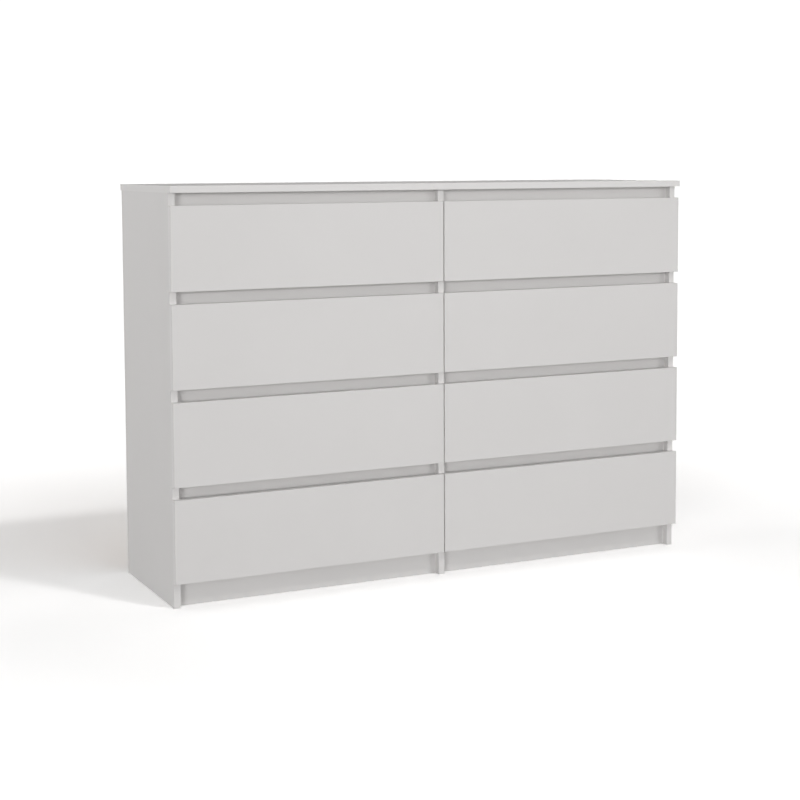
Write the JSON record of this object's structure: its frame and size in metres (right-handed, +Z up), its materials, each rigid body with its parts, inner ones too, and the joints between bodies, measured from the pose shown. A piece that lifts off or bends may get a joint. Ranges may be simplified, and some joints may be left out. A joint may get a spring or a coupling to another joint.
{
  "type": "dresser with drawers",
  "caption": "Wide chest of handle-less drawers in two columns, with finger gaps above the fronts, roller runners and uprights that stand on the floor.",
  "frame": {"origin": "on the floor, at the middle of the chest's width and of its depth", "axes": "+X to the right as seen from the front, +Y to the back, +Z up; the drawers open towards -Y"},
  "size_m": [1.4, 0.4, 0.98],
  "materials": {
    "laminate_board": "matt white laminate on particle board, with edge band",
    "hardboard": "hardboard, painted white on one face and raw brown on the other",
    "coated_steel": "white epoxy coating on folded sheet steel",
    "nylon": "moulded white nylon",
    "zinc": "zinc-plated steel and die-cast zinc",
    "beech": "fluted beech"
  },
  "bodies": {
    "carcass": {"top_panel": "laminate_board", "side_panel_left": "laminate_board", "side_panel_right": "laminate_board", "centre_divider": "laminate_board", "bottom_panels": "laminate_board", "plinth_boards": "laminate_board", "front_rails": "laminate_board", "back_panels": "hardboard", "carcass_runners": "coated_steel", "runner_screws": "zinc", "cam_fittings": "zinc", "dowels": "beech"},
    "drawer_left_1": {"drawer_left_1_front": "laminate_board", "drawer_left_1_box": "laminate_board", "drawer_left_1_bottom": "hardboard", "drawer_left_1_runners": "coated_steel"},
    "drawer_left_1_rear_rollers": {"drawer_left_1_rollers": "nylon"},
    "drawer_left_1_front_rollers": {"carcass_rollers_left_1": "nylon"},
    "drawer_left_2": {"drawer_left_2_front": "laminate_board", "drawer_left_2_box": "laminate_board", "drawer_left_2_bottom": "hardboard", "drawer_left_2_runners": "coated_steel"},
    "drawer_left_2_rear_rollers": {"drawer_left_2_rollers": "nylon"},
    "drawer_left_2_front_rollers": {"carcass_rollers_left_2": "nylon"},
    "drawer_left_3": {"drawer_left_3_front": "laminate_board", "drawer_left_3_box": "laminate_board", "drawer_left_3_bottom": "hardboard", "drawer_left_3_runners": "coated_steel"},
    "drawer_left_3_rear_rollers": {"drawer_left_3_rollers": "nylon"},
    "drawer_left_3_front_rollers": {"carcass_rollers_left_3": "nylon"},
    "drawer_left_4": {"drawer_left_4_front": "laminate_board", "drawer_left_4_box": "laminate_board", "drawer_left_4_bottom": "hardboard", "drawer_left_4_runners": "coated_steel"},
    "drawer_left_4_rear_rollers": {"drawer_left_4_rollers": "nylon"},
    "drawer_left_4_front_rollers": {"carcass_rollers_left_4": "nylon"},
    "drawer_right_1": {"drawer_right_1_front": "laminate_board", "drawer_right_1_box": "laminate_board", "drawer_right_1_bottom": "hardboard", "drawer_right_1_runners": "coated_steel"},
    "drawer_right_1_rear_rollers": {"drawer_right_1_rollers": "nylon"},
    "drawer_right_1_front_rollers": {"carcass_rollers_right_1": "nylon"},
    "drawer_right_2": {"drawer_right_2_front": "laminate_board", "drawer_right_2_box": "laminate_board", "drawer_right_2_bottom": "hardboard", "drawer_right_2_runners": "coated_steel"},
    "drawer_right_2_rear_rollers": {"drawer_right_2_rollers": "nylon"},
    "drawer_right_2_front_rollers": {"carcass_rollers_right_2": "nylon"},
    "drawer_right_3": {"drawer_right_3_front": "laminate_board", "drawer_right_3_box": "laminate_board", "drawer_right_3_bottom": "hardboard", "drawer_right_3_runners": "coated_steel"},
    "drawer_right_3_rear_rollers": {"drawer_right_3_rollers": "nylon"},
    "drawer_right_3_front_rollers": {"carcass_rollers_right_3": "nylon"},
    "drawer_right_4": {"drawer_right_4_front": "laminate_board", "drawer_right_4_box": "laminate_board", "drawer_right_4_bottom": "hardboard", "drawer_right_4_runners": "coated_steel"},
    "drawer_right_4_rear_rollers": {"drawer_right_4_rollers": "nylon"},
    "drawer_right_4_front_rollers": {"carcass_rollers_right_4": "nylon"}
  },
  "joints": [
    {"name": "drawer_left_1_slide", "type": "slide", "parent": "carcass", "child": "drawer_left_1", "axis": [0, -1, 0], "range_m": [0, 0.26]},
    {"name": "drawer_left_1_rear_rollers_spin", "type": "hinge", "parent": "drawer_left_1", "child": "drawer_left_1_rear_rollers", "pos_m": [-0.6765, 0.158, 0.7713], "axis": [1, 0, 0], "continuous": true},
    {"name": "drawer_left_1_front_rollers_spin", "type": "hinge", "parent": "carcass", "child": "drawer_left_1_front_rollers", "pos_m": [-0.6765, -0.165, 0.7697], "axis": [1, 0, 0], "continuous": true},
    {"name": "drawer_left_2_slide", "type": "slide", "parent": "carcass", "child": "drawer_left_2", "axis": [0, -1, 0], "range_m": [0, 0.26]},
    {"name": "drawer_left_2_rear_rollers_spin", "type": "hinge", "parent": "drawer_left_2", "child": "drawer_left_2_rear_rollers", "pos_m": [-0.6765, 0.158, 0.5453], "axis": [1, 0, 0], "continuous": true},
    {"name": "drawer_left_2_front_rollers_spin", "type": "hinge", "parent": "carcass", "child": "drawer_left_2_front_rollers", "pos_m": [-0.6765, -0.165, 0.5437], "axis": [1, 0, 0], "continuous": true},
    {"name": "drawer_left_3_slide", "type": "slide", "parent": "carcass", "child": "drawer_left_3", "axis": [0, -1, 0], "range_m": [0, 0.26]},
    {"name": "drawer_left_3_rear_rollers_spin", "type": "hinge", "parent": "drawer_left_3", "child": "drawer_left_3_rear_rollers", "pos_m": [-0.6765, 0.158, 0.3193], "axis": [1, 0, 0], "continuous": true},
    {"name": "drawer_left_3_front_rollers_spin", "type": "hinge", "parent": "carcass", "child": "drawer_left_3_front_rollers", "pos_m": [-0.6765, -0.165, 0.3177], "axis": [1, 0, 0], "continuous": true},
    {"name": "drawer_left_4_slide", "type": "slide", "parent": "carcass", "child": "drawer_left_4", "axis": [0, -1, 0], "range_m": [0, 0.26]},
    {"name": "drawer_left_4_rear_rollers_spin", "type": "hinge", "parent": "drawer_left_4", "child": "drawer_left_4_rear_rollers", "pos_m": [-0.6765, 0.158, 0.0933], "axis": [1, 0, 0], "continuous": true},
    {"name": "drawer_left_4_front_rollers_spin", "type": "hinge", "parent": "carcass", "child": "drawer_left_4_front_rollers", "pos_m": [-0.6765, -0.165, 0.0917], "axis": [1, 0, 0], "continuous": true},
    {"name": "drawer_right_1_slide", "type": "slide", "parent": "carcass", "child": "drawer_right_1", "axis": [0, -1, 0], "range_m": [0, 0.26]},
    {"name": "drawer_right_1_rear_rollers_spin", "type": "hinge", "parent": "drawer_right_1", "child": "drawer_right_1_rear_rollers", "pos_m": [0.014, 0.158, 0.7713], "axis": [1, 0, 0], "continuous": true},
    {"name": "drawer_right_1_front_rollers_spin", "type": "hinge", "parent": "carcass", "child": "drawer_right_1_front_rollers", "pos_m": [0.014, -0.165, 0.7697], "axis": [1, 0, 0], "continuous": true},
    {"name": "drawer_right_2_slide", "type": "slide", "parent": "carcass", "child": "drawer_right_2", "axis": [0, -1, 0], "range_m": [0, 0.26]},
    {"name": "drawer_right_2_rear_rollers_spin", "type": "hinge", "parent": "drawer_right_2", "child": "drawer_right_2_rear_rollers", "pos_m": [0.014, 0.158, 0.5453], "axis": [1, 0, 0], "continuous": true},
    {"name": "drawer_right_2_front_rollers_spin", "type": "hinge", "parent": "carcass", "child": "drawer_right_2_front_rollers", "pos_m": [0.014, -0.165, 0.5437], "axis": [1, 0, 0], "continuous": true},
    {"name": "drawer_right_3_slide", "type": "slide", "parent": "carcass", "child": "drawer_right_3", "axis": [0, -1, 0], "range_m": [0, 0.26]},
    {"name": "drawer_right_3_rear_rollers_spin", "type": "hinge", "parent": "drawer_right_3", "child": "drawer_right_3_rear_rollers", "pos_m": [0.014, 0.158, 0.3193], "axis": [1, 0, 0], "continuous": true},
    {"name": "drawer_right_3_front_rollers_spin", "type": "hinge", "parent": "carcass", "child": "drawer_right_3_front_rollers", "pos_m": [0.014, -0.165, 0.3177], "axis": [1, 0, 0], "continuous": true},
    {"name": "drawer_right_4_slide", "type": "slide", "parent": "carcass", "child": "drawer_right_4", "axis": [0, -1, 0], "range_m": [0, 0.26]},
    {"name": "drawer_right_4_rear_rollers_spin", "type": "hinge", "parent": "drawer_right_4", "child": "drawer_right_4_rear_rollers", "pos_m": [0.014, 0.158, 0.0933], "axis": [1, 0, 0], "continuous": true},
    {"name": "drawer_right_4_front_rollers_spin", "type": "hinge", "parent": "carcass", "child": "drawer_right_4_front_rollers", "pos_m": [0.014, -0.165, 0.0917], "axis": [1, 0, 0], "continuous": true}
  ],
  "couplings": [
    {"joint": "drawer_left_1_rear_rollers_spin", "follows": "drawer_left_1_slide", "rad_per_m": 100},
    {"joint": "drawer_left_1_front_rollers_spin", "follows": "drawer_left_1_slide", "rad_per_m": 100},
    {"joint": "drawer_left_2_rear_rollers_spin", "follows": "drawer_left_2_slide", "rad_per_m": 100},
    {"joint": "drawer_left_2_front_rollers_spin", "follows": "drawer_left_2_slide", "rad_per_m": 100},
    {"joint": "drawer_left_3_rear_rollers_spin", "follows": "drawer_left_3_slide", "rad_per_m": 100},
    {"joint": "drawer_left_3_front_rollers_spin", "follows": "drawer_left_3_slide", "rad_per_m": 100},
    {"joint": "drawer_left_4_rear_rollers_spin", "follows": "drawer_left_4_slide", "rad_per_m": 100},
    {"joint": "drawer_left_4_front_rollers_spin", "follows": "drawer_left_4_slide", "rad_per_m": 100},
    {"joint": "drawer_right_1_rear_rollers_spin", "follows": "drawer_right_1_slide", "rad_per_m": 100},
    {"joint": "drawer_right_1_front_rollers_spin", "follows": "drawer_right_1_slide", "rad_per_m": 100},
    {"joint": "drawer_right_2_rear_rollers_spin", "follows": "drawer_right_2_slide", "rad_per_m": 100},
    {"joint": "drawer_right_2_front_rollers_spin", "follows": "drawer_right_2_slide", "rad_per_m": 100},
    {"joint": "drawer_right_3_rear_rollers_spin", "follows": "drawer_right_3_slide", "rad_per_m": 100},
    {"joint": "drawer_right_3_front_rollers_spin", "follows": "drawer_right_3_slide", "rad_per_m": 100},
    {"joint": "drawer_right_4_rear_rollers_spin", "follows": "drawer_right_4_slide", "rad_per_m": 100},
    {"joint": "drawer_right_4_front_rollers_spin", "follows": "drawer_right_4_slide", "rad_per_m": 100}
  ]
}
